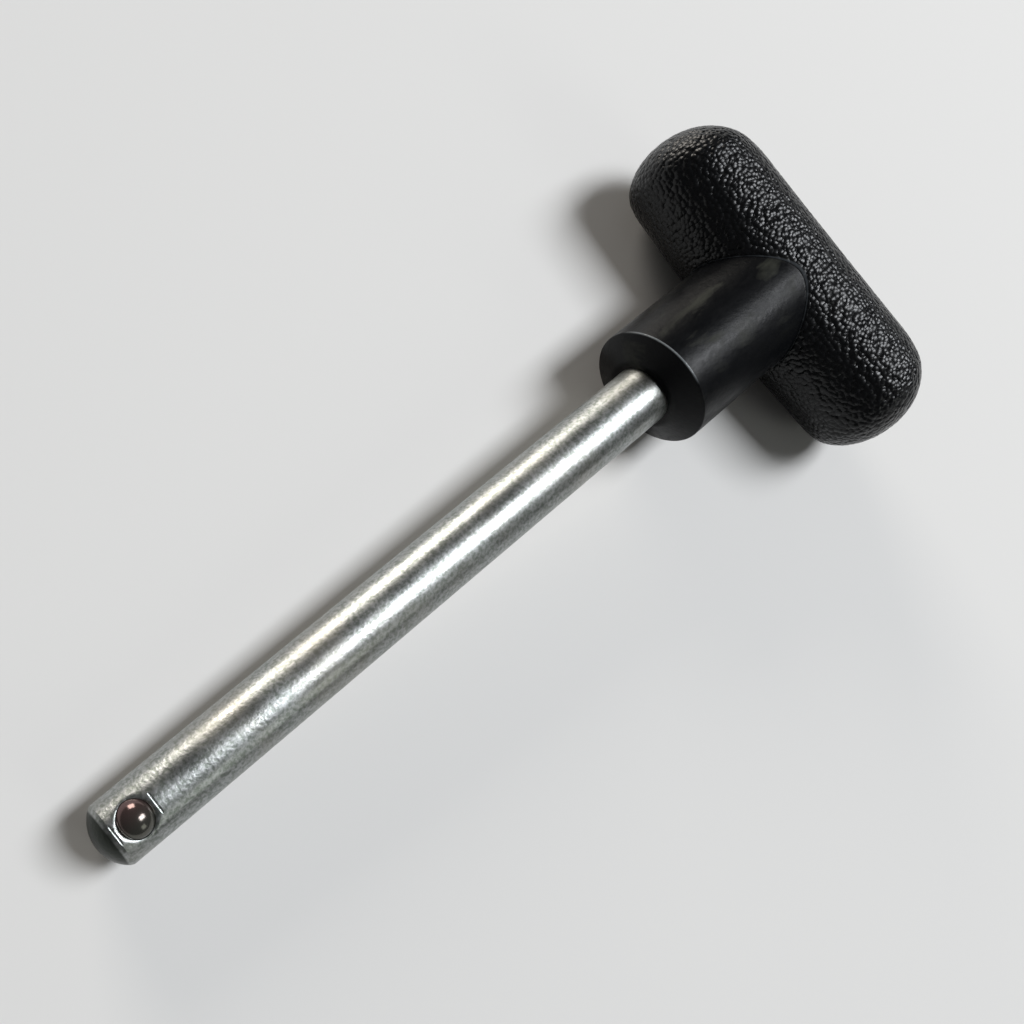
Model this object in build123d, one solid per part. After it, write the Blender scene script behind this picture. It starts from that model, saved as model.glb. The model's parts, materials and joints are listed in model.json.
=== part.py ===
from build123d import *
import math
import os

# Weight stack pin: a plated steel shaft moulded into a T-handle, with a sprung ball near its tip.
# It is drawn with the shaft along X, the hub's face at X = 0, the handle on the +X side and the
# ball on top, then laid down on the handle's underside and the tip. Millimetres.

# Shaft
shaft_diameter = 9.525
shaft_reach = 107.1
dome_height = 2.1
nose_bevel_length = 0.5
nose_bevel_depth = 0.25
nose_ease_length = 7.0
nose_ease_depth = 0.05
shank_length = 37.0
shank_diameter = 8.0
shank_shoulder_length = 0.8
shank_chamfer = 0.8
anchor_groove_width = 3.0
anchor_groove_depth = 0.8
anchor_groove_spacing = 10.0
anchor_groove_count = 3
anchor_groove_first = 6.0

# Ball, its spring and its pocket in the shaft
ball_diameter = 5.5
ball_clearance = 0.05
ball_from_tip = 5.8
ball_centre_height = 3.0
lip_opening_diameter = 4.9
lip_bevel_width = 0.55
lip_bevel_depth = 0.35
stake_spacing = 5.9
stake_width = 0.4
stake_depth = 0.26
pocket_floor_height = -3.4
spring_coil_diameter = 3.9
spring_wire_diameter = 0.5
spring_turns = 4.5
spring_end_clearance = 0.02

# Handle
hub_diameter = 20.1
hub_face_diameter = 11.6
hub_rim_setback = 1.95
hub_rim_rounding = 0.25
bar_front = 22.95
bar_depth = 21.7
bar_height = 21.7
bar_half_length = 30.15
bar_front_bow = 2.1
front_corner_depth = 7.45
front_corner_length = 5.3
back_corner_depth = 11.6
back_corner_length = 12.85
end_height_length = 8.3
bar_end_steps = 9
bar_middle_steps = 6
bar_end_first_angle = 6.0

# Sizes that follow from the ones above
shaft_radius = shaft_diameter / 2
ball_radius = ball_diameter / 2
pocket_radius = ball_radius + ball_clearance
lip_radius = lip_opening_diameter / 2
hub_radius = hub_diameter / 2
hub_face_radius = hub_face_diameter / 2
bar_middle = bar_front + bar_depth / 2
ball_x = ball_from_tip - shaft_reach
shank_radius = shank_diameter / 2
dome_edge_x = dome_height - shaft_reach
bevel_top_x = dome_edge_x + nose_bevel_length
bevel_top_radius = shaft_radius - nose_ease_depth
dome_edge_radius = bevel_top_radius - nose_bevel_depth
plain_end_x = bevel_top_x + nose_ease_length


def make_shaft_blank():
    """The turned shaft: domed, bevelled and eased tip, plain length, grooved shank in the handle."""
    dome_radius = (dome_edge_radius**2 + dome_height**2) / (2 * dome_height)
    half_angle = math.asin(dome_edge_radius / dome_radius) / 2
    dome_middle_x = dome_radius * (1 - math.cos(half_angle)) - shaft_reach
    dome_middle_r = dome_radius * math.sin(half_angle)
    with BuildPart() as blank:
        with BuildSketch(Plane.XZ):
            with BuildLine():
                ThreePointArc(
                    (-shaft_reach, 0),
                    (dome_middle_x, dome_middle_r),
                    (dome_edge_x, dome_edge_radius),
                )
                Polyline(
                    (dome_edge_x, dome_edge_radius),
                    (bevel_top_x, bevel_top_radius),
                    (plain_end_x, shaft_radius),
                    (0, shaft_radius),
                    (shank_shoulder_length, shank_radius),
                    (shank_length - shank_chamfer, shank_radius),
                    (shank_length, shank_radius - shank_chamfer),
                    (shank_length, 0),
                    (-shaft_reach, 0),
                )
            make_face()
        revolve(axis=Axis.X)
        with BuildSketch(Plane.XZ):
            for i in range(anchor_groove_count):
                groove_x = anchor_groove_first + i * anchor_groove_spacing
                with Locations((groove_x + anchor_groove_width / 2, shank_radius)):
                    Rectangle(anchor_groove_width, 2 * anchor_groove_depth)
        revolve(axis=Axis.X, mode=Mode.SUBTRACT)
    return blank.part


def make_ball_pocket():
    """The blind pocket: bore, round seat under the lip, bevelled lip opening, two stake marks."""
    up = (Align.CENTER, Align.CENTER, Align.MIN)
    above = shaft_radius + 1
    bore_depth = ball_centre_height - pocket_floor_height
    bore = Pos(0, 0, pocket_floor_height) * Cylinder(pocket_radius, bore_depth, align=up)
    seat = Pos(0, 0, ball_centre_height) * Sphere(pocket_radius)
    opening_length = above - ball_centre_height
    opening = Pos(0, 0, ball_centre_height) * Cylinder(lip_radius, opening_length, align=up)
    bevel_slope = lip_bevel_width / lip_bevel_depth
    bevel_bottom = shaft_radius - lip_bevel_depth
    bevel_top_radius = lip_radius + bevel_slope * (above - bevel_bottom)
    bevel = Pos(0, 0, bevel_bottom) * Cone(
        lip_radius, bevel_top_radius, above - bevel_bottom, align=up
    )
    lip_top = Pos(0, 0, bevel_bottom) * Cylinder(
        lip_radius + lip_bevel_width, above - bevel_bottom, align=up
    )
    stake = Pos(0, 0, shaft_radius - stake_depth) * Box(stake_width, shaft_diameter, 1, align=up)
    marks = Pos(stake_spacing / 2, 0, 0) * stake + Pos(-stake_spacing / 2, 0, 0) * stake
    return Pos(ball_x, 0, 0) * (bore + seat + opening + (bevel & lip_top) + marks)


def make_ball():
    """The steel ball, out against the lip."""
    return Pos(ball_x, 0, ball_centre_height) * Sphere(ball_radius)


def make_spring():
    """The spring under the ball, its two ends ground flat."""
    coil_radius = spring_coil_diameter / 2
    inner_radius = coil_radius - spring_wire_diameter / 2
    ball_drop = math.sqrt(ball_radius**2 - inner_radius**2)
    top = ball_centre_height - ball_drop - spring_end_clearance
    height = top - pocket_floor_height
    path = Helix(pitch=height / spring_turns, height=height, radius=coil_radius)
    wire_plane = Plane(origin=path @ 0, z_dir=path % 0)
    coil = sweep(wire_plane * Circle(spring_wire_diameter / 2), path=path, is_frenet=True)
    up = (Align.CENTER, Align.CENTER, Align.MIN)
    between_ends = Cylinder(coil_radius + spring_wire_diameter, height, align=up)
    return Pos(ball_x, 0, pocket_floor_height) * (coil & between_ends)


def quarter_round(distance, depth, length):
    """How far an elliptical corner has cut in, at a distance from the end of the bar."""
    if distance >= length:
        return 0.0
    return depth * (1 - math.sqrt(1 - (1 - distance / length) ** 2))


def bar_section(y):
    """One elliptical section of the grip across its length."""
    from_end = bar_half_length - abs(y)
    bow = bar_front_bow * (y / bar_half_length) ** 2
    front_cut = bow + quarter_round(from_end, front_corner_depth, front_corner_length)
    back_cut = quarter_round(from_end, back_corner_depth, back_corner_length)
    front = bar_front + front_cut
    back = bar_front + bar_depth - back_cut
    half_height = bar_height / 2 - quarter_round(from_end, bar_height / 2, end_height_length)
    plane = Plane(origin=((front + back) / 2, y, 0), x_dir=(1, 0, 0), z_dir=(0, 1, 0))
    return plane * Ellipse((back - front) / 2, half_height)


def make_bar():
    """The grip: fuller at the back, slightly bowed at the front, with round ends."""
    stations = []
    for i in range(bar_end_steps + 1):
        turned = (90 - bar_end_first_angle) * i / bar_end_steps
        angle = math.radians(bar_end_first_angle + turned)
        stations.append(bar_half_length - back_corner_length * (1 - math.cos(angle)))
    straight = stations[-1]
    for i in range(1, bar_middle_steps):
        stations.append(straight * (1 - i / bar_middle_steps))
    ordered = [-y for y in stations] + [0.0] + stations[::-1]
    return loft([bar_section(y) for y in ordered])


def make_hub():
    """The hub: a cylinder whose end slopes back from a narrow flat ring to a rounded rim."""
    with BuildPart() as hub:
        with BuildSketch(Plane.XZ):
            with BuildLine():
                Polyline(
                    (0, 0),
                    (0, hub_face_radius),
                    (hub_rim_setback, hub_radius),
                    (bar_middle, hub_radius),
                    (bar_middle, 0),
                    (0, 0),
                )
            make_face()
        revolve(axis=Axis.X)
        rim_edge = hub.edges().filter_by(GeomType.CIRCLE).sort_by(Axis.X)[1]
        fillet(rim_edge, hub_rim_rounding)
    return hub.part


def resting_tilt():
    """Angle at which the grip's underside and the tip both touch the ground."""
    half_depth = bar_depth / 2
    half_height = bar_height / 2
    span = bar_middle - bevel_top_x
    a = span**2 - half_depth**2
    b = span * bevel_top_radius
    c = bevel_top_radius**2 - half_height**2
    return math.degrees(math.atan((math.sqrt(b**2 - a * c) - b) / a))


shaft_blank = make_shaft_blank()
pieces = {
    "handle": make_bar() + make_hub() - shaft_blank,
    "shaft": shaft_blank - make_ball_pocket(),
    "detent_ball": make_ball(),
    "detent_spring": make_spring(),
}

lie_down = Rot(0, -resting_tilt(), 0)
laid = {name: lie_down * piece for name, piece in pieces.items()}
box = laid["handle"].bounding_box().add(laid["shaft"].bounding_box())
to_origin = Pos(-(box.min.X + box.max.X) / 2, -(box.min.Y + box.max.Y) / 2, -box.min.Z)

os.makedirs("parts", exist_ok=True)
for name, piece in laid.items():
    export_step(to_origin * piece, f"parts/{name}.step")
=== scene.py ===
import json
import math
import bmesh
import bpy
from mathutils import Matrix, Vector


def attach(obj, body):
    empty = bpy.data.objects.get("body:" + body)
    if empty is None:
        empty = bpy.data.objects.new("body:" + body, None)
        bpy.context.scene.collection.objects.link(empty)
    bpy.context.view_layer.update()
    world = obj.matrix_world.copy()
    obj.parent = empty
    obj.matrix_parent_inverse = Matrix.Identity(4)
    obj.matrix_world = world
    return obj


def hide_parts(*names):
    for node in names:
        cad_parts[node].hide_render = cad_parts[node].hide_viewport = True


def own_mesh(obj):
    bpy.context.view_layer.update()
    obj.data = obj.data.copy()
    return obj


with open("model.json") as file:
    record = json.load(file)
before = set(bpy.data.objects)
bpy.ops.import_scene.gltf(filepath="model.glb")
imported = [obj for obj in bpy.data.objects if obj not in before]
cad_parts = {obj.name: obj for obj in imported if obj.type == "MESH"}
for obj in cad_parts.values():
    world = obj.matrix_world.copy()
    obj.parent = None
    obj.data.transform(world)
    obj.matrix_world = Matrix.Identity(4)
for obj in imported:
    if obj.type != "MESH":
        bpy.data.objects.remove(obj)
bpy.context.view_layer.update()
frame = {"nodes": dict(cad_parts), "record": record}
mm = 0.001
weldDistance = 1e-7


# Small helpers

def hexColour(code):
    # sRGB hex to the linear colour that the nodes want
    channels = [int(code[i:i + 2], 16) / 255 for i in (1, 3, 5)]
    linear = [c / 12.92 if c <= 0.04045 else ((c + 0.055) / 1.055) ** 2.4 for c in channels]
    return (*linear, 1.0)


def addNode(tree, kind, values=None, links=None, **settings):
    node = tree.nodes.new(kind)
    for name, value in settings.items():
        setattr(node, name, value)
    for socket, value in (values or {}).items():
        node.inputs[socket].default_value = value
    for socket, source in (links or {}).items():
        tree.links.new(source, node.inputs[socket])
    return node


def newMaterial(name):
    material = bpy.data.materials.new(name)
    material.use_nodes = True
    material.node_tree.nodes.clear()
    return material, material.node_tree


def meshFromModifiers(piece):
    # the piece with its modifiers worked in, and none left on it
    graph = bpy.context.evaluated_depsgraph_get()
    finished = bpy.data.meshes.new_from_object(piece.evaluated_get(graph))
    piece.modifiers.clear()
    piece.data = finished


# Where the CAD says the shaft runs

shaftMount = next(m for m in frame["record"]["mounts"] if m["name"] == "shaft")
towardsHandle = -Vector(shaftMount["axis"])
plainLength = shaftMount["dims"]["length_mm"] * mm
hubFaceCentre = Vector(shaftMount["pos_m"]) + towardsHandle * plainLength / 2
tilt = math.atan2(towardsHandle.z, towardsHandle.x)
# pieces are drawn with the shaft along X and the hub's face at 0, then laid down with this
layDown = Matrix.Translation(hubFaceCentre) @ Matrix.Rotation(-tilt, 4, "Y")

# Shaft sizes in mm, along the shaft from the hub's face and outwards from its axis
shaft = {
    "radius": shaftMount["dims"]["r_mm"],
    "reach": 107.1,
    "plainEnd": -97.5,
    "bevelTop": (-104.5, 4.7125),
    "domeEdge": (-105.0, 4.4625),
    "domeSteps": 14,
    "shoulder": 0.8,
    "shankRadius": 4.0,
    "shankLength": 37.0,
    "shankChamfer": 0.8,
    "grooves": (6.0, 16.0, 26.0),
    "grooveWidth": 3.0,
    "grooveDepth": 0.8,
    "faceSize": 1.0,
    "steps": 200,
    "sharpAngle": 20,       # degrees; keeps the bevel and the stake marks crisp
}


def shankOutline():
    # from the shank's inner end to the mouth, where the shaft leaves the hub
    radius, length, chamfer = shaft["shankRadius"], shaft["shankLength"], shaft["shankChamfer"]
    points = [(length, 0), (length, radius - chamfer), (length - chamfer, radius)]
    deep = radius - shaft["grooveDepth"]
    for start in reversed(shaft["grooves"]):
        end = start + shaft["grooveWidth"]
        points += [(end, radius), (end, deep), (start, deep), (start, radius)]
    points += [(shaft["shoulder"], radius), (0, shaft["radius"])]
    return [Vector(point) for point in points]


# Handle: black vinyl moulding, a grained grip across a smooth hub (sizes in mm)

grip = {
    "front": 22.95,
    "depth": 21.7,
    "height": 21.7,
    "halfLength": 30.15,
    "frontBow": 2.1,
    "frontCorner": (7.45, 5.3),     # how deep it cuts in, over what length
    "backCorner": (11.6, 12.85),
    "endLength": 8.3,               # over which the height rounds off
    "around": 280,
    "along": 250,
    "straightShare": 0.5,           # of the rings, the share on the middle stretch
    "sharpAngle": 40,
}
hub = {
    "radius": 10.05,
    "faceRadius": 5.8,          # the flat ring round the shaft
    "rimSetback": 1.95,         # how far behind it the rim is
    "rimRounding": 0.25,
    "rimSteps": 6,
    "coreRadius": 6.0,
    "coreEnd": 39.0,
    "steps": 200,
    "faceSize": 0.5,
}
grain = {
    "pitchAlong": 0.70,     # pebbles measured on the photograph, along the grip
    "pitchAcross": 0.83,    # and across it
    "unevenness": 0.85,
    "warpPitch": 2.6,
    "warp": 0.30,           # in pebbles
    "dome": 1.0,            # how far a pebble's round top would reach if no other cut it
    "relief": 0.11,         # depth of the real relief in the mesh at that distance
    "bumpRelief": 0.20,     # the rest of it, in the material, where the mesh is too coarse
    "fadeAtHub": 0.45,
}


def cornerCut(distance, corner):
    depth, length = corner
    if distance >= length:
        return 0.0
    return depth * (1 - math.sqrt(max(0.0, 1 - (1 - distance / length) ** 2)))


def gripPoint(lengthwise, turn):
    # lengthwise from -1 to 1 along the grip, turn round it
    share = abs(lengthwise)
    straight = grip["straightShare"]
    endStretch = grip["backCorner"][1]
    middle = grip["halfLength"] - endStretch
    if share < straight:
        fromCentre = middle * share / straight
    else:
        angle = math.pi / 2 * (1 - share) / (1 - straight)
        fromCentre = grip["halfLength"] - endStretch * (1 - math.cos(angle))
    fromEnd = grip["halfLength"] - fromCentre
    bow = grip["frontBow"] * (fromCentre / grip["halfLength"]) ** 2
    front = grip["front"] + bow + cornerCut(fromEnd, grip["frontCorner"])
    back = grip["front"] + grip["depth"] - cornerCut(fromEnd, grip["backCorner"])
    halfHeight = grip["height"] / 2 - cornerCut(fromEnd, (grip["height"] / 2, grip["endLength"]))
    x = (front + back) / 2 + (back - front) / 2 * math.cos(turn)
    return Vector((x, math.copysign(fromCentre, lengthwise), halfHeight * math.sin(turn)))


def makeGrip():
    bm = bmesh.new()
    bmesh.ops.create_uvsphere(bm, u_segments=grip["around"], v_segments=grip["along"], radius=1)
    for vert in bm.verts:
        lengthwise = 2 / math.pi * math.asin(max(-1.0, min(1.0, vert.co.z)))
        turn = math.atan2(vert.co.y, vert.co.x)
        vert.co = gripPoint(lengthwise, turn) * mm
    bmesh.ops.remove_doubles(bm, verts=bm.verts[:], dist=weldDistance)
    bmesh.ops.recalc_face_normals(bm, faces=bm.faces[:])
    mesh = bpy.data.meshes.new("grip")
    bm.to_mesh(mesh)
    bm.free()
    return bpy.data.objects.new("grip", mesh)


def hubOutline():
    # half of the hub's section, from the mouth round the outside and back through the bore
    middle = grip["front"] + grip["depth"] / 2
    rimRadius, rounding = hub["radius"], hub["rimRounding"]
    slope = math.atan2(rimRadius - hub["faceRadius"], hub["rimSetback"])
    # the rounded rim runs from the sloping face to the cylinder
    back = rounding * math.tan(slope / 2)
    centre = Vector((hub["rimSetback"] + back, rimRadius - rounding))
    outline = [Vector((0, hub["faceRadius"]))]
    for i in range(hub["rimSteps"] + 1):
        angle = math.pi / 2 + slope * (1 - i / hub["rimSteps"])
        outline.append(centre + rounding * Vector((math.cos(angle), math.sin(angle))))
    outline.append(Vector((middle, hub["radius"])))
    outline.append(Vector((middle, hub["coreRadius"])))
    outline.append(Vector((hub["coreEnd"], hub["coreRadius"])))
    outline.append(Vector((hub["coreEnd"], 0)))
    return outline + shankOutline()


def spunPiece(name, outline, axis, faceSize, steps):
    # a closed or axis-to-axis outline turned once round an axis of the drawn pose
    across = Vector((0, 0, 1)) if axis.x else Vector((1, 0, 0))
    bm = bmesh.new()
    verts = [bm.verts.new((axis * p.x + across * p.y) * mm) for p in outline]
    pairs = zip(verts, verts[1:] + verts[:1])
    # no edge along the axis itself, where the spin would make faces of no width
    edges = [bm.edges.new(pair) for pair in pairs if max(v.co.dot(across) for v in pair) > 1e-9]
    for edge in list(edges):
        cuts = int(edge.calc_length() / (faceSize * mm))
        if cuts > 1:
            split = bmesh.ops.subdivide_edges(bm, edges=[edge], cuts=cuts)
            edges += [e for e in split["geom_split"] if isinstance(e, bmesh.types.BMEdge)]
    bmesh.ops.spin(
        bm, geom=bm.verts[:] + bm.edges[:], cent=(0, 0, 0), axis=axis,
        angle=2 * math.pi, steps=steps, use_merge=True,
    )
    bmesh.ops.remove_doubles(bm, verts=bm.verts[:], dist=weldDistance)
    bmesh.ops.recalc_face_normals(bm, faces=bm.faces[:])
    mesh = bpy.data.meshes.new(name)
    bm.to_mesh(mesh)
    bm.free()
    return bpy.data.objects.new(name, mesh)


def cutAway(piece, cutters, operation="DIFFERENCE"):
    # cutters worked into the piece one after another, then thrown away
    bpy.context.scene.collection.objects.link(piece)
    for cutter in cutters:
        bpy.context.scene.collection.objects.link(cutter)
        cut = piece.modifiers.new(cutter.name, "BOOLEAN")
        cut.operation = operation
        cut.solver = "EXACT"
        cut.object = cutter
    meshFromModifiers(piece)
    for cutter in cutters:
        bpy.data.objects.remove(cutter)


def makeHub():
    return spunPiece("hub", hubOutline(), Vector((1, 0, 0)), hub["faceSize"], hub["steps"])


def pebbles(tree, position):
    # height of the leather grain, 0 in a crease and 1 on a pebble; the same in mesh and material
    across = 1 / (grain["pitchAcross"] * mm)
    along = 1 / (grain["pitchAlong"] * mm)
    wander = addNode(tree, "ShaderNodeTexNoise",
                     {"Scale": 1 / (grain["warpPitch"] * mm), "Detail": 1.0},
                     {"Vector": position}, noise_dimensions="3D")
    centred = addNode(tree, "ShaderNodeVectorMath", {1: (0.5, 0.5, 0.5)},
                      {0: wander.outputs["Color"]}, operation="SUBTRACT")
    pushed = addNode(tree, "ShaderNodeVectorMath", {1: (2 * grain["warp"],) * 3},
                     {0: centred.outputs["Vector"]}, operation="MULTIPLY")
    scaled = addNode(tree, "ShaderNodeVectorMath", {1: (across, along, across)}, {0: position},
                     operation="MULTIPLY")
    warped = addNode(tree, "ShaderNodeVectorMath", None,
                     {0: scaled.outputs["Vector"], 1: pushed.outputs["Vector"]}, operation="ADD")
    cells = addNode(tree, "ShaderNodeTexVoronoi", {"Scale": 1.0, "Randomness": grain["unevenness"]},
                    {"Vector": warped.outputs["Vector"]}, feature="F1")
    # a round dome on each pebble: level at its middle, steepest where it meets the next one
    fall = addNode(tree, "ShaderNodeMapRange", {"From Max": grain["dome"]},
                   {"Value": cells.outputs["Distance"]})
    squared = addNode(tree, "ShaderNodeMath", {1: 2.0}, {0: fall.outputs["Result"]},
                      operation="POWER")
    rise = addNode(tree, "ShaderNodeMath", {0: 1.0}, {1: squared.outputs["Value"]},
                   operation="SUBTRACT")
    return rise.outputs["Value"]


def raiseGrain(piece):
    # the pebbles as real relief, where the mesh's own "grain" says there are any
    tree = bpy.data.node_groups.new("raise grain", "GeometryNodeTree")
    tree.interface.new_socket("Geometry", in_out="INPUT", socket_type="NodeSocketGeometry")
    tree.interface.new_socket("Geometry", in_out="OUTPUT", socket_type="NodeSocketGeometry")
    start = addNode(tree, "NodeGroupInput")
    position = addNode(tree, "GeometryNodeInputPosition")
    normal = addNode(tree, "GeometryNodeInputNormal")
    mask = addNode(tree, "GeometryNodeInputNamedAttribute", {"Name": "grain"}, data_type="FLOAT")
    height = pebbles(tree, position.outputs["Position"])
    # creases go in and pebble tops stay at the moulding's size
    sunk = addNode(tree, "ShaderNodeMath", {1: 1.0}, {0: height}, operation="SUBTRACT")
    deep = addNode(tree, "ShaderNodeMath", {1: grain["relief"] * mm}, {0: sunk.outputs["Value"]},
                   operation="MULTIPLY")
    masked = addNode(tree, "ShaderNodeMath", None,
                     {0: deep.outputs["Value"], 1: mask.outputs["Attribute"]},
                     operation="MULTIPLY")
    offset = addNode(tree, "ShaderNodeVectorMath", None,
                     {0: normal.outputs["Normal"], "Scale": masked.outputs["Value"]},
                     operation="SCALE")
    moved = addNode(tree, "GeometryNodeSetPosition", None,
                    {"Geometry": start.outputs["Geometry"], "Offset": offset.outputs["Vector"]})
    addNode(tree, "NodeGroupOutput", None, {"Geometry": moved.outputs["Geometry"]})
    piece.modifiers.new("grain", "NODES").node_group = tree


def makeHandle():
    gripPiece = makeGrip()
    cutAway(gripPiece, [makeHub()], "UNION")
    mesh = gripPiece.data
    mesh.name = gripPiece.name = "moulded_handle"
    # grain covers the grip and fades out just before the hub
    values = []
    middle = (grip["front"] + grip["depth"] / 2) * mm
    for vert in mesh.vertices:
        outside = math.hypot(vert.co.y, vert.co.z) - hub["radius"] * mm
        fade = outside / (grain["fadeAtHub"] * mm)
        values.append(1.0 if vert.co.x > middle else max(0.0, min(1.0, fade)))
    mesh.attributes.new("grain", "FLOAT", "POINT").data.foreach_set("value", values)
    mesh.transform(layDown)
    mesh.shade_smooth()
    mesh.set_sharp_from_angle(angle=math.radians(grip["sharpAngle"]))
    raiseGrain(gripPiece)
    meshFromModifiers(gripPiece)
    return gripPiece


handle = makeHandle()
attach(handle, "pin")
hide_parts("handle")
print("handle made:", len(handle.data.polygons), "faces")

# Shaft: turned bar, drilled for the ball, its lip rolled over and staked

pocket = {
    "x": 5.8 - shaft["reach"],      # the ball's place along the shaft
    "seatHeight": 3.0,
    "radius": 2.8,
    "floor": -3.4,
    "lipRadius": 2.45,
    "lipRoll": (0.95, 0.40),        # how wide and how deep the lip is rounded over
    "lipSteps": 10,
    "seatSteps": 24,
    "cutterFace": 0.4,              # size of a face on the cutters
    "stakeSpacing": 6.3,
    "stakeRadius": 0.26,
    "stakeDepth": 0.30,
    "stakeLength": 8.0,
    "stakeSteps": 32,
    "steps": 128,
    "clear": 1.0,                   # how far the cutters stand out of the shaft
    "lipFlare": 0.3,                # how far the lip's cutter widens there
}


def shaftOutline():
    edgeX, edgeRadius = shaft["domeEdge"]
    height = edgeX + shaft["reach"]
    domeRadius = (edgeRadius ** 2 + height ** 2) / (2 * height)
    halfAngle = math.asin(edgeRadius / domeRadius)
    outline = shankOutline()
    outline += [Vector((shaft["plainEnd"], shaft["radius"])), Vector(shaft["bevelTop"])]
    for i in range(shaft["domeSteps"] + 1):
        angle = halfAngle * (1 - i / shaft["domeSteps"])
        x = domeRadius * (1 - math.cos(angle)) - shaft["reach"]
        outline.append(Vector((x, domeRadius * math.sin(angle))))
    return outline


def makeBore():
    # drilled hole with a round seat that holds the ball under the lip
    top = shaft["radius"] + pocket["clear"]
    lipAngle = math.asin(pocket["lipRadius"] / pocket["radius"])
    outline = [Vector((pocket["floor"], 0)), Vector((pocket["floor"], pocket["radius"]))]
    for i in range(pocket["seatSteps"] + 1):
        angle = math.pi / 2 + (lipAngle - math.pi / 2) * i / pocket["seatSteps"]
        seat = Vector((math.cos(angle), math.sin(angle))) * pocket["radius"]
        outline.append(Vector((pocket["seatHeight"] + seat.x, seat.y)))
    outline += [Vector((top, pocket["lipRadius"])), Vector((top, 0))]
    return spunPiece("bore", outline, Vector((0, 0, 1)), pocket["cutterFace"], pocket["steps"])


def makeLipRoll():
    # rounds the hole's edge all the way round, following the shaft's curve
    width, depth = pocket["lipRoll"]
    outer, top = pocket["lipRadius"] + width, shaft["radius"]
    outline = [Vector((top - depth, 0)), Vector((top - depth, pocket["lipRadius"]))]
    for i in range(1, pocket["lipSteps"] + 1):
        angle = math.pi / 2 * i / pocket["lipSteps"]
        height = top - depth + depth * math.sin(angle)
        outline.append(Vector((height, outer - width * math.cos(angle))))
    outline += [Vector((top + pocket["clear"], outer + pocket["lipFlare"])),
                Vector((top + pocket["clear"], 0))]
    piece = spunPiece("lip roll", outline, Vector((0, 0, 1)), pocket["cutterFace"], pocket["steps"])
    for vert in piece.data.vertices:
        vert.co.z += math.sqrt((top * mm) ** 2 - vert.co.y ** 2) - top * mm
    return piece


def makeStake(side):
    # a round-nosed punch laid across the shaft beside the hole
    bm = bmesh.new()
    height = shaft["radius"] - pocket["stakeDepth"] + pocket["stakeRadius"]
    place = Matrix.Translation(Vector((side * pocket["stakeSpacing"] / 2, 0, height)) * mm)
    bmesh.ops.create_cone(
        bm, cap_ends=True, segments=pocket["stakeSteps"], radius1=pocket["stakeRadius"] * mm,
        radius2=pocket["stakeRadius"] * mm, depth=pocket["stakeLength"] * mm,
        matrix=place @ Matrix.Rotation(math.pi / 2, 4, "X"),
    )
    mesh = bpy.data.meshes.new("stake")
    bm.to_mesh(mesh)
    bm.free()
    return bpy.data.objects.new("stake", mesh)


def makeShaft():
    piece = spunPiece("plated_shaft", shaftOutline(), Vector((1, 0, 0)), shaft["faceSize"],
                      shaft["steps"])
    cutters = [makeBore(), makeLipRoll(), makeStake(-1), makeStake(1)]
    for cutter in cutters:
        cutter.data.transform(Matrix.Translation((pocket["x"] * mm, 0, 0)))
    cutAway(piece, cutters)
    piece.data.name = "plated_shaft"
    piece.data.transform(layDown)
    piece.data.shade_smooth()
    piece.data.set_sharp_from_angle(angle=math.radians(shaft["sharpAngle"]))
    return piece


shaftPiece = makeShaft()
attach(shaftPiece, "pin")
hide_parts("shaft")
print("shaft made:", len(shaftPiece.data.polygons), "faces")

# Spring: the coil as its own piece

spring = {
    "radius": 1.95,
    "wireRadius": 0.25,
    "turns": 4.5,           # right-handed, as most springs are
    "top": 0.818,           # just under the ball when the ball is out
    "stepsPerTurn": 48,
    "aroundWire": 16,
    "sharpAngle": 40,
}


def makeSpring():
    # a tube along a helix, with its two ends ground flat
    bm = bmesh.new()
    low, high = pocket["floor"], spring["top"]
    steps = round(spring["turns"] * spring["stepsPerTurn"])
    climb = (high - low) / (2 * math.pi * spring["turns"])
    rings = []
    for i in range(steps + 1):
        angle = 2 * math.pi * spring["turns"] * i / steps
        outwards = Vector((math.cos(angle), math.sin(angle), 0))
        centre = outwards * spring["radius"] + Vector((0, 0, low + climb * angle))
        level = Vector((-outwards.y, outwards.x, 0)) * spring["radius"]
        onwards = level + Vector((0, 0, climb))
        upwards = outwards.cross(onwards.normalized())
        ring = []
        for j in range(spring["aroundWire"]):
            turn = 2 * math.pi * j / spring["aroundWire"]
            sideways = math.cos(turn) * outwards + math.sin(turn) * upwards
            point = centre + spring["wireRadius"] * sideways
            point.z = max(low, min(high, point.z))
            ring.append(bm.verts.new((point + Vector((pocket["x"], 0, 0))) * mm))
        rings.append(ring)
    for ring, following in zip(rings, rings[1:]):
        for j in range(spring["aroundWire"]):
            k = (j + 1) % spring["aroundWire"]
            bm.faces.new((ring[j], ring[k], following[k], following[j]))
    bm.faces.new(rings[0])
    bm.faces.new(reversed(rings[-1]))
    bmesh.ops.recalc_face_normals(bm, faces=bm.faces[:])
    mesh = bpy.data.meshes.new("wire_spring")
    bm.to_mesh(mesh)
    bm.free()
    mesh.transform(layDown)
    mesh.shade_smooth()
    mesh.set_sharp_from_angle(angle=math.radians(spring["sharpAngle"]))
    piece = bpy.data.objects.new("wire_spring", mesh)
    bpy.context.scene.collection.objects.link(piece)
    return piece


springPiece = makeSpring()
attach(springPiece, "pin")
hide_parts("detent_spring")
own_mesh(springPiece)
print("spring made:", len(springPiece.data.polygons), "faces")

# Materials


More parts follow.
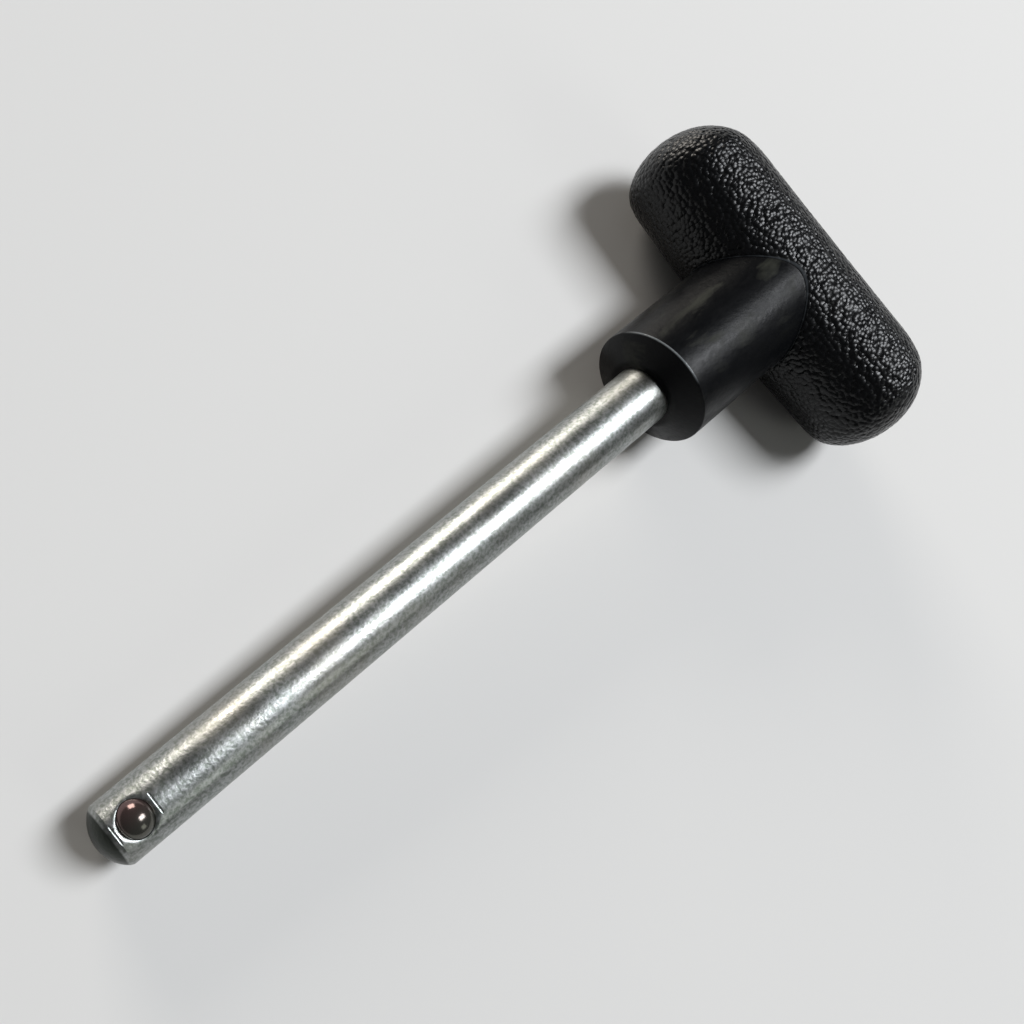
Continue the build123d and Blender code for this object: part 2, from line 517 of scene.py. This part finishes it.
def shaftFrame(tree):
    # object coordinates turned back to the drawn pose: shaft along X, hub's face at 0
    place = addNode(tree, "ShaderNodeTexCoord")
    turnBack = Matrix.Rotation(tilt, 4, "Y")
    moved = addNode(tree, "ShaderNodeMapping",
                    {"Location": -(turnBack @ hubFaceCentre), "Rotation": (0, tilt, 0)},
                    {"Vector": place.outputs["Object"]})
    return place.outputs["Object"], moved.outputs["Vector"]


def bandMask(tree, value, centre, core, edge):
    # 1 within core of the centre and 0 beyond edge, all in mm
    off = addNode(tree, "ShaderNodeMath", {1: centre * mm}, {0: value}, operation="SUBTRACT")
    size = addNode(tree, "ShaderNodeMath", None, {0: off.outputs["Value"]}, operation="ABSOLUTE")
    mask = addNode(tree, "ShaderNodeMapRange",
                   {"From Min": core * mm, "From Max": edge * mm, "To Min": 1.0, "To Max": 0.0},
                   {"Value": size.outputs["Value"]}, interpolation_type="SMOOTHSTEP")
    return mask.outputs["Result"]


vinyl = {
    "colour": "#050608",
    "hazeAndSheen": "#2A2B26",          # dust and handling film on the smooth hub; its pale colour is partly a painted sheen from the side lamp
    "gripRoughness": 0.30,
    "hubRoughness": 0.38,
    "rimRoughness": 0.12,
    "hazeRoughness": 0.16,
    "hazeLength": 13.0,         # patches lie along the hub
    "hazeWidth": 4.5,
    "blotchLength": 3.0,        # small uneven places that break up the hub's light
    "blotchWidth": 1.2,
    "satinSize": 0.35,          # the mould's blasted skin on the hub, drawn coarser to show
    "satinRelief": 0.028,
    "rimHighlightColour": "#6C7072",     # pale band on the rim: a painted highlight along the rounded rim's lamp-facing arc
    "litSideAngle": 26.0,        # middle of the lamp-facing side that gets the painted rim highlight and the painted sheen, degrees from the top towards +Y
    "rimHighlightArcRange": (0.70, 0.86),    # how squarely a place faces that way, from no painted rim highlight to all of it
    "filmAndSheenSideRange": (0.4, 0.9),     # the same for the film and its painted sheen
    "rimHighlightBand": (0.1, 0.08, 0.20),   # band of the painted rim highlight behind the rim: middle, solid half width, whole half width, mm
    "seamHighlightBand": (0.14, 0.04, 0.10),     # the same outwards from the hub
    "filmRange": (0.53, 0.67),
    "blotchRange": (0.3, 0.7),
    "blotchRoughness": 0.07,
    # paler line along the seam: a painted highlight standing in for the light on its ridge
    "seamHighlightColour": "#34373A",
    "specularLevel": 0.26,
    "hubTint": "#A2A2A2",       # the smooth hub has a duller skin than the grain
    "gripTint": "#FFFFFF",
}


def mouldedVinyl():
    # soft black PVC from a mould: leather grain with a light on each pebble, smooth semi-gloss hub
    material, tree = newMaterial("mouldedBlackVinyl")
    position, drawn = shaftFrame(tree)
    mask = addNode(tree, "ShaderNodeAttribute", attribute_name="grain").outputs["Fac"]
    height = pebbles(tree, position)
    strength = addNode(tree, "ShaderNodeMath", None, {0: height, 1: mask}, operation="MULTIPLY")
    parts = addNode(tree, "ShaderNodeSeparateXYZ", None, {"Vector": drawn})
    sideways = addNode(tree, "ShaderNodeVectorMath", {1: (0, 1, 1)}, {0: drawn},
                       operation="MULTIPLY")
    fromAxis = addNode(tree, "ShaderNodeVectorMath", None, {0: sideways.outputs["Vector"]},
                       operation="LENGTH")
    outwards = addNode(tree, "ShaderNodeVectorMath", None, {0: sideways.outputs["Vector"]},
                       operation="NORMALIZE")
    middle = math.radians(vinyl["litSideAngle"])
    facing = addNode(tree, "ShaderNodeVectorMath", {1: (0, math.sin(middle), math.cos(middle))},
                     {0: outwards.outputs["Vector"]}, operation="DOT_PRODUCT").outputs["Value"]
    low, high = vinyl["rimHighlightArcRange"]
    rimHighlightArc = addNode(tree, "ShaderNodeMapRange", {"From Min": low, "From Max": high},
                     {"Value": facing})
    low, high = vinyl["filmAndSheenSideRange"]
    filmAndSheenSide = addNode(tree, "ShaderNodeMapRange", {"From Min": low, "From Max": high},
                      {"Value": facing})
    # the rim band is shinier, and is painted pale on its lamp-facing arc as a painted highlight; a
    # paler line, also a painted highlight, runs round the hub where the grip meets it
    offset, core, edge = vinyl["rimHighlightBand"]
    line = bandMask(tree, parts.outputs["X"], hub["rimSetback"] + offset, core, edge)
    rim = addNode(tree, "ShaderNodeMath", None, {0: line, 1: rimHighlightArc.outputs["Result"]},
                  operation="MULTIPLY").outputs["Value"]
    offset, core, edge = vinyl["seamHighlightBand"]
    ring = bandMask(tree, fromAxis.outputs["Value"], hub["radius"] + offset, core, edge)
    front = addNode(tree, "ShaderNodeMath", {1: (grip["front"] + grip["depth"] / 2) * mm},
                    {0: parts.outputs["X"]}, operation="LESS_THAN")
    seam = addNode(tree, "ShaderNodeMath", None, {0: ring, 1: front.outputs["Value"]},
                   operation="MULTIPLY").outputs["Value"]
    bump = addNode(tree, "ShaderNodeBump", {"Strength": 1.0, "Distance": grain["bumpRelief"] * mm},
                   {"Height": strength.outputs["Value"]})
    # the hub's own fine skin
    satin = addNode(tree, "ShaderNodeTexNoise",
                    {"Scale": 1 / (vinyl["satinSize"] * 2 * mm), "Detail": 2.0, "Roughness": 0.6},
                    {"Vector": drawn})
    smooth = addNode(tree, "ShaderNodeMath", {0: 1.0}, {1: mask}, operation="SUBTRACT")
    skin = addNode(tree, "ShaderNodeBump", {"Distance": vinyl["satinRelief"] * mm},
                   {"Height": satin.outputs["Fac"], "Strength": smooth.outputs["Value"],
                    "Normal": bump.outputs["Normal"]})

    def patches(length, width, detail):
        stretched = addNode(tree, "ShaderNodeVectorMath",
                            {1: (1 / (length * mm), 1 / (width * mm), 1 / (width * mm))},
                            {0: drawn}, operation="MULTIPLY")
        return addNode(tree, "ShaderNodeTexNoise",
                       {"Scale": 1.0, "Detail": detail, "Roughness": 0.6, "Distortion": 0.5},
                       {"Vector": stretched.outputs["Vector"]}).outputs["Fac"]

    # dust and handling film in patches, on the smooth hub's upper side only; its pale colour there
    # is partly a painted sheen
    low, high = vinyl["filmRange"]
    film = addNode(tree, "ShaderNodeMapRange", {"From Min": low, "From Max": high},
                   {"Value": patches(vinyl["hazeLength"], vinyl["hazeWidth"], 4.0)})
    upper = addNode(tree, "ShaderNodeMath", None,
                    {0: film.outputs["Result"], 1: filmAndSheenSide.outputs["Result"]}, operation="MULTIPLY")
    hazeAndSheen = addNode(tree, "ShaderNodeMath", None,
                   {0: upper.outputs["Value"], 1: smooth.outputs["Value"]}, operation="MULTIPLY")
    withHazeAndSheen = addNode(tree, "ShaderNodeMix",
                    {"A": hexColour(vinyl["colour"]), "B": hexColour(vinyl["hazeAndSheen"])},
                    {"Factor": hazeAndSheen.outputs["Value"]}, data_type="RGBA")
    # painted highlight: a paler line along the seam
    withSeamHighlight = addNode(tree, "ShaderNodeMix", {"B": hexColour(vinyl["seamHighlightColour"])},
                     {"Factor": seam, "A": withHazeAndSheen.outputs["Result"]}, data_type="RGBA")
    # painted highlight: the rim band made pale on its lamp-facing arc
    colour = addNode(tree, "ShaderNodeMix", {"B": hexColour(vinyl["rimHighlightColour"])},
                     {"Factor": rim, "A": withSeamHighlight.outputs["Result"]}, data_type="RGBA")
    base = addNode(tree, "ShaderNodeMapRange",
                   {"To Min": vinyl["hubRoughness"], "To Max": vinyl["gripRoughness"]},
                   {"Value": mask})
    duller = addNode(tree, "ShaderNodeMath", {1: vinyl["hazeRoughness"]},
                     {0: hazeAndSheen.outputs["Value"], 2: base.outputs["Result"]},
                     operation="MULTIPLY_ADD")
    low, high = vinyl["blotchRange"]
    blotches = addNode(tree, "ShaderNodeMapRange",
                       {"From Min": low, "From Max": high, "To Min": -vinyl["blotchRoughness"],
                        "To Max": vinyl["blotchRoughness"]},
                       {"Value": patches(vinyl["blotchLength"], vinyl["blotchWidth"], 3.0)})
    streaked = addNode(tree, "ShaderNodeMath", None,
                       {0: duller.outputs["Value"], 1: blotches.outputs["Result"]}, operation="ADD")
    rough = addNode(tree, "ShaderNodeMix", {"B": vinyl["rimRoughness"]},
                    {"Factor": rim, "A": streaked.outputs["Value"]}, data_type="FLOAT")
    tint = addNode(tree, "ShaderNodeMix",
                   {"A": hexColour(vinyl["hubTint"]), "B": hexColour(vinyl["gripTint"])},
                   {"Factor": mask}, data_type="RGBA")
    shader = addNode(tree, "ShaderNodeBsdfPrincipled",
                     {"Specular IOR Level": vinyl["specularLevel"]},
                     {"Base Color": colour.outputs["Result"], "Roughness": rough.outputs["Result"],
                      "Specular Tint": tint.outputs["Result"], "Normal": skin.outputs["Normal"]})
    addNode(tree, "ShaderNodeOutputMaterial", None, {"Surface": shader.outputs["BSDF"]})
    return material


zinc = {
    "light": "#A6A8A8",
    "dark": "#797E79",
    "warm": "#9A968E",
    "warmRange": (0.45, 0.75),  # where the patches' noise turns warm, and how far
    "warmShare": 0.6,
    "domeShadeColour": "#343733",       # painted shade: the domed end darkened, standing in for the dark surroundings it reflects
    "domeShadeFade": 0.25,
    "roughness": (0.30, 0.42),
    "spangleSize": 0.26,
    "spangleRange": (0.35, 0.65),
    "spangleRelief": 0.040,
    "smoothEnd": -35.0,         # the spangle is strongest at the tip and fades towards the handle
    "smoothShare": 0.45,
    "waveSize": 2.6,
    "waveRelief": 0.05,
    "waveRange": (0.3, 0.7),
    "patchSize": 7.0,
}


def zincPlate():
    # bright zinc plate on cold-drawn steel: fine spangle breaks up reflections, grey-green cast
    material, tree = newMaterial("zincPlatedSteel")
    position, drawn = shaftFrame(tree)
    spangle = addNode(tree, "ShaderNodeTexNoise",
                      {"Scale": 1 / (zinc["spangleSize"] * 2 * mm), "Detail": 2.0,
                       "Roughness": 0.55},
                      {"Vector": position})
    waves = addNode(tree, "ShaderNodeTexNoise",
                    {"Scale": 1 / (zinc["waveSize"] * 2 * mm), "Detail": 2.0, "Roughness": 0.5},
                    {"Vector": position})
    patches = addNode(tree, "ShaderNodeTexNoise",
                      {"Scale": 1 / (zinc["patchSize"] * 2 * mm), "Detail": 3.0, "Roughness": 0.6},
                      {"Vector": position})
    wavy = addNode(tree, "ShaderNodeBump", {"Distance": zinc["waveRelief"] * mm},
                   {"Height": waves.outputs["Fac"]})
    parts = addNode(tree, "ShaderNodeSeparateXYZ", None, {"Vector": drawn})
    coarse = addNode(tree, "ShaderNodeMapRange",
                     {"From Min": zinc["smoothEnd"] * mm, "From Max": -shaft["reach"] * mm,
                      "To Min": zinc["smoothShare"]}, {"Value": parts.outputs["X"]})
    bump = addNode(tree, "ShaderNodeBump", {"Distance": zinc["spangleRelief"] * mm},
                   {"Height": spangle.outputs["Fac"], "Strength": coarse.outputs["Result"],
                    "Normal": wavy.outputs["Normal"]})
    low, high = zinc["spangleRange"]
    cells = addNode(tree, "ShaderNodeMapRange", {"From Min": low, "From Max": high},
                    {"Value": spangle.outputs["Fac"]})
    mottled = addNode(tree, "ShaderNodeMix",
                      {"A": hexColour(zinc["dark"]), "B": hexColour(zinc["light"])},
                      {"Factor": cells.outputs["Result"]}, data_type="RGBA")
    low, high = zinc["warmRange"]
    tintShare = addNode(tree, "ShaderNodeMapRange",
                        {"From Min": low, "From Max": high, "To Max": zinc["warmShare"]},
                        {"Value": patches.outputs["Fac"]})
    tinted = addNode(tree, "ShaderNodeMix", {"B": hexColour(zinc["warm"])},
                     {"Factor": tintShare.outputs["Result"], "A": mottled.outputs["Result"]},
                     data_type="RGBA")
    # painted shade: the domed end's colour darkened
    domeShadeShare = addNode(tree, "ShaderNodeMapRange",
                        {"From Min": shaft["domeEdge"][0] * mm,
                         "From Max": (shaft["domeEdge"][0] - zinc["domeShadeFade"]) * mm},
                        {"Value": parts.outputs["X"]})
    colour = addNode(tree, "ShaderNodeMix", {"B": hexColour(zinc["domeShadeColour"])},
                     {"Factor": domeShadeShare.outputs["Result"], "A": tinted.outputs["Result"]},
                     data_type="RGBA")
    low, high = zinc["waveRange"]
    rough = addNode(tree, "ShaderNodeMapRange",
                    {"From Min": low, "From Max": high, "To Min": zinc["roughness"][0],
                     "To Max": zinc["roughness"][1]},
                    {"Value": waves.outputs["Fac"]})
    shader = addNode(tree, "ShaderNodeBsdfPrincipled", {"Metallic": 1.0},
                     {"Base Color": colour.outputs["Result"], "Roughness": rough.outputs["Result"],
                      "Normal": bump.outputs["Normal"]})
    addNode(tree, "ShaderNodeOutputMaterial", None, {"Surface": shader.outputs["BSDF"]})
    return material


ballSteel = {
    "colour": "#65504F",
    "oliveReflectionTint": "#55544E",
    "roughness": (0.119, 0.221),
    "patchSize": 3.0,
    "patchShift": 1.2,
    "oliveReflectionRange": (1.2, -2.2),  # where the painted olive reflection starts and is whole, mm along Y
    "metal": 0.78,              # the brown film of oxide and oil hides part of the metal
}


def bearingSteel():
    # hardened bearing ball, polished, browned by use and oil; the change from brown to olive-grey
    # across it is a painted reflection
    material, tree = newMaterial("polishedBearingSteel")
    place = addNode(tree, "ShaderNodeTexCoord")
    stains = addNode(tree, "ShaderNodeTexNoise",
                     {"Scale": 1 / (ballSteel["patchSize"] * mm), "Detail": 3.0},
                     {"Vector": place.outputs["Object"]})
    # painted reflection: browner towards +Y, olive-grey towards -Y, uneven in between
    parts = addNode(tree, "ShaderNodeSeparateXYZ", None, {"Vector": place.outputs["Object"]})
    shift = addNode(tree, "ShaderNodeMapRange",
                    {"From Min": -0.5, "From Max": 0.5, "To Min": -ballSteel["patchShift"] * mm,
                     "To Max": ballSteel["patchShift"] * mm}, {"Value": stains.outputs["Fac"]})
    across = addNode(tree, "ShaderNodeMath", None,
                     {0: parts.outputs["Y"], 1: shift.outputs["Result"]}, operation="SUBTRACT")
    start, end = ballSteel["oliveReflectionRange"]
    share = addNode(tree, "ShaderNodeMapRange", {"From Min": start * mm, "From Max": end * mm},
                    {"Value": across.outputs["Value"]})
    colour = addNode(tree, "ShaderNodeMix",
                     {"A": hexColour(ballSteel["colour"]), "B": hexColour(ballSteel["oliveReflectionTint"])},
                     {"Factor": share.outputs["Result"]}, data_type="RGBA")
    rough = addNode(tree, "ShaderNodeMapRange",
                    {"To Min": ballSteel["roughness"][0], "To Max": ballSteel["roughness"][1]},
                    {"Value": stains.outputs["Fac"]})
    shader = addNode(tree, "ShaderNodeBsdfPrincipled", {"Metallic": ballSteel["metal"]},
                     {"Base Color": colour.outputs["Result"], "Roughness": rough.outputs["Result"]})
    addNode(tree, "ShaderNodeOutputMaterial", None, {"Surface": shader.outputs["BSDF"]})
    return material


wireSteel = {
    "colour": "#8A8C90",
    "dark": "#5E6064",
    "roughness": (0.25, 0.45),
    "drawMarkSize": 0.12,
}


def springWire():
    # hard-drawn spring wire with a thin film of grease: darker in patches
    material, tree = newMaterial("hardDrawnSpringWire")
    place = addNode(tree, "ShaderNodeTexCoord")
    marks = addNode(tree, "ShaderNodeTexNoise",
                    {"Scale": 1 / (wireSteel["drawMarkSize"] * 4 * mm), "Detail": 3.0},
                    {"Vector": place.outputs["Object"]})
    colour = addNode(tree, "ShaderNodeMix",
                     {"A": hexColour(wireSteel["colour"]), "B": hexColour(wireSteel["dark"])},
                     {"Factor": marks.outputs["Fac"]}, data_type="RGBA")
    rough = addNode(tree, "ShaderNodeMapRange",
                    {"To Min": wireSteel["roughness"][0], "To Max": wireSteel["roughness"][1]},
                    {"Value": marks.outputs["Fac"]})
    shader = addNode(tree, "ShaderNodeBsdfPrincipled", {"Metallic": 1.0},
                     {"Base Color": colour.outputs["Result"], "Roughness": rough.outputs["Result"]})
    addNode(tree, "ShaderNodeOutputMaterial", None, {"Surface": shader.outputs["BSDF"]})
    return material


finishes = ((handle, mouldedVinyl()), (shaftPiece, zincPlate()), (springPiece, springWire()))
for piece, material in finishes:
    piece.data.materials.clear()
    piece.data.materials.append(material)
# the ball's CAD shape is right, so it stays and gets its finish
ball = bearingSteel()
for slot in frame["nodes"]["detent_ball"].material_slots:
    slot.material = ball
print("materials made")

# Stage: pale floor, a cool softbox overhead, a warm one low at one side, a weak one opposite

stage = {
    "floorColour": "#D3D2D0",
    "floorRoughness": 0.9,
    "floorSpecular": 0.1,
    "floorSize": 12.0,
    "worldColour": "#FFFFFF",
    "worldStrength": 0.10,
}
lamps = {
    # directions from the object, worked out from the rod's two bright bands and the ball's lights
    "overheadSoftbox": {"from": (0.49, -0.20, 0.86), "along": (1, 0, 0), "distance": 2.0,
                        "size": (0.66, 1.10), "colour": "#F8FBFF", "power": 45},
    "sideSoftbox": {"from": (0.33, 0.92, 0.215), "along": (0, 0, 1), "distance": 2.0,
                    "size": (0.90, 0.84), "colour": "#FFF8EE", "power": 25},
    "fillSoftbox": {"from": (0.12, -0.86, 0.49), "along": (0, 0, 1), "distance": 2.0,
                    "size": (0.70, 0.80), "colour": "#F6FAF2", "power": 3},
}


def makeStage():
    bm = bmesh.new()
    bmesh.ops.create_grid(bm, x_segments=1, y_segments=1, size=stage["floorSize"] / 2)
    mesh = bpy.data.meshes.new("floor")
    bm.to_mesh(mesh)
    bm.free()
    floor = bpy.data.objects.new("floor", mesh)
    bpy.context.scene.collection.objects.link(floor)
    # matt backdrop paper: hardly any shine, so that it only takes the shadow
    material, tree = newMaterial("palePaperFloor")
    shader = addNode(tree, "ShaderNodeBsdfPrincipled",
                     {"Base Color": hexColour(stage["floorColour"]),
                      "Roughness": stage["floorRoughness"],
                      "Specular IOR Level": stage["floorSpecular"]})
    addNode(tree, "ShaderNodeOutputMaterial", None, {"Surface": shader.outputs["BSDF"]})
    mesh.materials.append(material)
    world = bpy.data.worlds.new("studio")
    world.use_nodes = True
    background = world.node_tree.nodes["Background"]
    background.inputs["Color"].default_value = hexColour(stage["worldColour"])
    background.inputs["Strength"].default_value = stage["worldStrength"]
    bpy.context.scene.world = world
    for name, lamp in lamps.items():
        data = bpy.data.lights.new(name, "AREA")
        data.shape = "RECTANGLE"
        data.size, data.size_y = lamp["size"]
        data.color = hexColour(lamp["colour"])[:3]
        data.energy = lamp["power"]
        softbox = bpy.data.objects.new(name, data)
        direction = Vector(lamp["from"]).normalized()
        along = Vector(lamp["along"])
        along = (along - direction * along.dot(direction)).normalized()
        turned = Matrix((along.cross(direction), along, direction)).transposed().to_4x4()
        softbox.matrix_world = Matrix.Translation(direction * lamp["distance"]) @ turned
        softbox.visible_camera = False
        bpy.context.scene.collection.objects.link(softbox)


makeStage()
print("stage made")

# Camera, solved from the photograph's outline

camera = {
    "place": (-87.160, 13.889, 154.402),
    "right": (0.739226, -0.616350, 0.271400),
    "up": (0.572011, 0.787333, 0.230022),
    "lens": 39.53,
    "sensor": 36.0,
    "shift": (0.2261, 0.0315),      # the photograph is cut from the left of a wider one
    "nearest": 0.01,
}
cameraData = bpy.data.cameras.new("camera")
cameraData.lens = camera["lens"]
cameraData.sensor_width = camera["sensor"]
cameraData.shift_x, cameraData.shift_y = camera["shift"]
cameraData.clip_start = camera["nearest"]
right, up = Vector(camera["right"]), Vector(camera["up"])
turned = Matrix((right, up, right.cross(up))).transposed().to_4x4()
cameraObject = bpy.data.objects.new("camera", cameraData)
cameraObject.matrix_world = Matrix.Translation(Vector(camera["place"]) * mm) @ turned
bpy.context.scene.collection.objects.link(cameraObject)
bpy.context.scene.camera = cameraObject
bpy.context.scene.view_settings.view_transform = "Standard"
